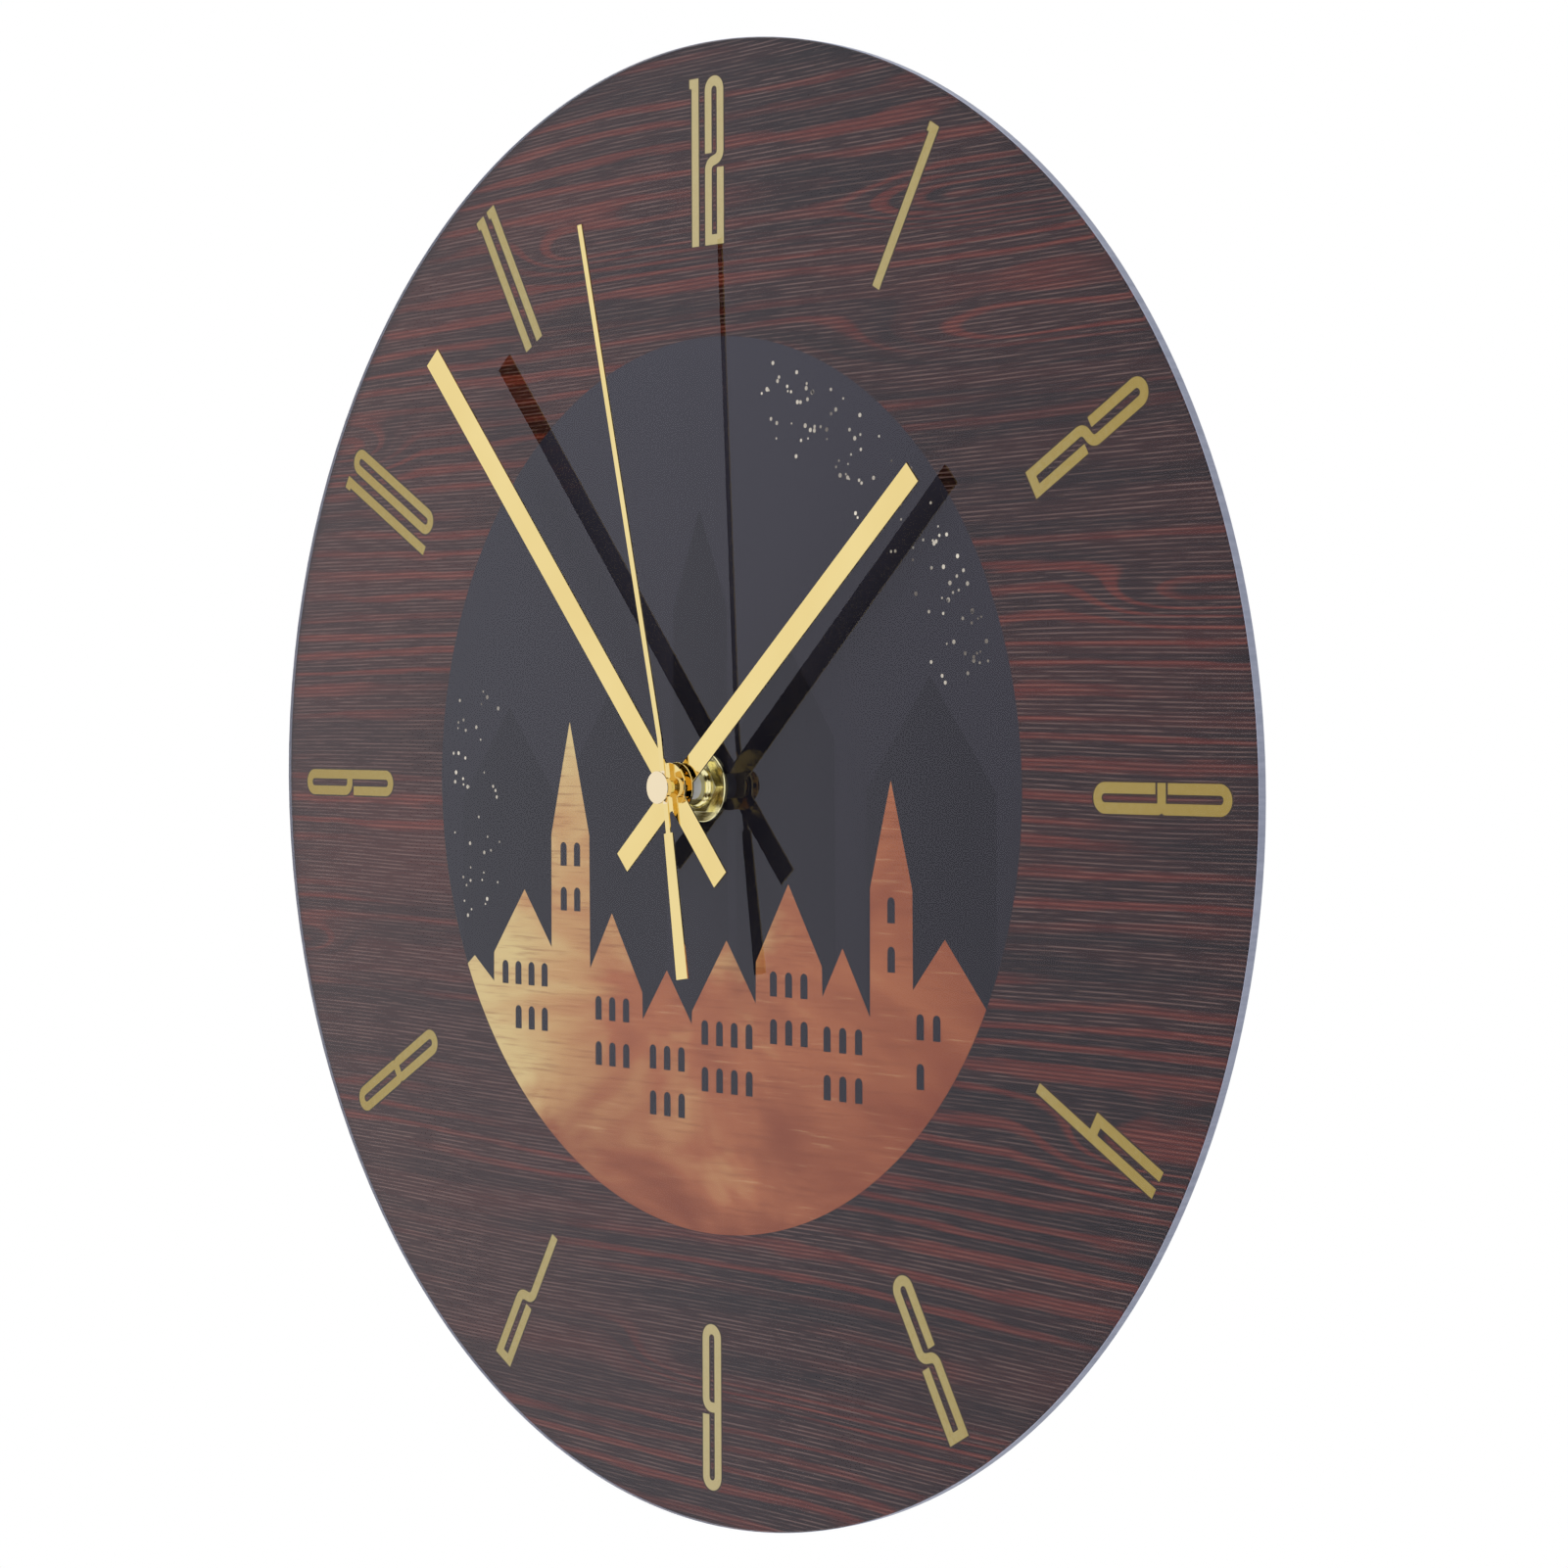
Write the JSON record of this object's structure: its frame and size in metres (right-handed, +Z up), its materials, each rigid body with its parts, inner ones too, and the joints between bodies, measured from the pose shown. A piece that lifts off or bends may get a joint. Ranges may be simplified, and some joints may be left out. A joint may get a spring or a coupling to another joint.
{
  "type": "acrylic wall clock",
  "caption": "Round frameless acrylic wall clock: clear printed disc on a battery quartz movement, with gold baton hands and a keyhole hanger at the back.",
  "frame": {"origin": "on the axis of the hands, at the back face of the movement, which rests on the wall", "axes": "+Z up, +Y into the wall, so the dial faces -Y; +X to the right as seen from the front"},
  "size_m": [0.3, 0.038, 0.3],
  "materials": {
    "clear_acrylic": "clear cast acrylic, polished faces, lightly frosted edge",
    "dial_print": "printed film, dark wood grain with gold numerals",
    "gold_mirror": "anodised gold, mirror polished",
    "brass": "bright turned brass",
    "white_nylon": "moulded white nylon",
    "black_housing": "moulded black plastic with a fine spark texture",
    "black_rubber": "smooth black rubber",
    "bright_steel": "bright steel",
    "circuit_board": "green solder mask",
    "chip_resin": "drop of black resin",
    "copper_wire": "enamelled copper winding",
    "magnet": "dark sintered magnet",
    "battery_sleeve": null
  },
  "bodies": {
    "clock": {"dial_disc": "clear_acrylic", "printed_film": "dial_print", "rubber_washer": "black_rubber", "brass_washer": "brass", "hex_nut": "brass", "threaded_bush": "brass", "front_case": "black_housing", "rear_cover": "black_housing", "middle_plate": "white_nylon", "circuit_board": "circuit_board", "chip_cover": "chip_resin", "quartz_crystal": "bright_steel", "coil_bobbin": "white_nylon", "coil_winding": "copper_wire", "coil_core": "bright_steel", "stator": "bright_steel", "contact_positive": "bright_steel", "contact_negative": "bright_steel", "aa_battery": "battery_sleeve"},
    "second": {"second_hand": "gold_mirror", "second_wheel": "white_nylon"},
    "minute": {"minute_hand": "gold_mirror", "centre_arbor": "brass"},
    "hour": {"hour_hand": "gold_mirror", "hour_wheel": "white_nylon"},
    "setting": {"minute_wheel": "white_nylon", "setting_knob": "black_housing"},
    "centre": {"centre_wheel": "white_nylon"},
    "third": {"third_wheel": "white_nylon"},
    "intermediate": {"intermediate_wheel": "white_nylon"},
    "rotor": {"rotor_magnet": "magnet", "rotor_pinion": "bright_steel"}
  },
  "joints": [
    {"name": "second_hand_turn", "type": "hinge", "parent": "clock", "child": "second", "pos_m": [0, 0, 0], "axis": [0, 1, 0], "continuous": true},
    {"name": "minute_hand_turn", "type": "hinge", "parent": "clock", "child": "minute", "pos_m": [0, 0, 0], "axis": [0, 1, 0], "continuous": true},
    {"name": "hour_hand_turn", "type": "hinge", "parent": "clock", "child": "hour", "pos_m": [0, 0, 0], "axis": [0, 1, 0], "continuous": true},
    {"name": "setting_knob_turn", "type": "hinge", "parent": "clock", "child": "setting", "pos_m": [0, 0, 0.0108], "axis": [0, 1, 0], "continuous": true},
    {"name": "centre_wheel_turn", "type": "hinge", "parent": "clock", "child": "centre", "pos_m": [0, 0, 0], "axis": [0, 1, 0], "continuous": true},
    {"name": "third_wheel_turn", "type": "hinge", "parent": "clock", "child": "third", "pos_m": [-0.0102, 0, 0], "axis": [0, 1, 0], "continuous": true},
    {"name": "intermediate_wheel_turn", "type": "hinge", "parent": "clock", "child": "intermediate", "pos_m": [0.01008, 0, -0.0027], "axis": [0, 1, 0], "continuous": true},
    {"name": "rotor_turn", "type": "hinge", "parent": "clock", "child": "rotor", "pos_m": [0.01358, 0, 0.00336], "axis": [0, 1, 0], "continuous": true}
  ],
  "couplings": [
    {"joint": "hour_hand_turn", "follows": "minute_hand_turn", "ratio": 0.083333},
    {"joint": "setting_knob_turn", "follows": "minute_hand_turn", "ratio": -0.33333},
    {"joint": "centre_wheel_turn", "follows": "second_hand_turn", "ratio": 0.016667},
    {"joint": "third_wheel_turn", "follows": "second_hand_turn", "ratio": -0.13333},
    {"joint": "intermediate_wheel_turn", "follows": "second_hand_turn", "ratio": -5},
    {"joint": "rotor_turn", "follows": "second_hand_turn", "ratio": 30}
  ]
}
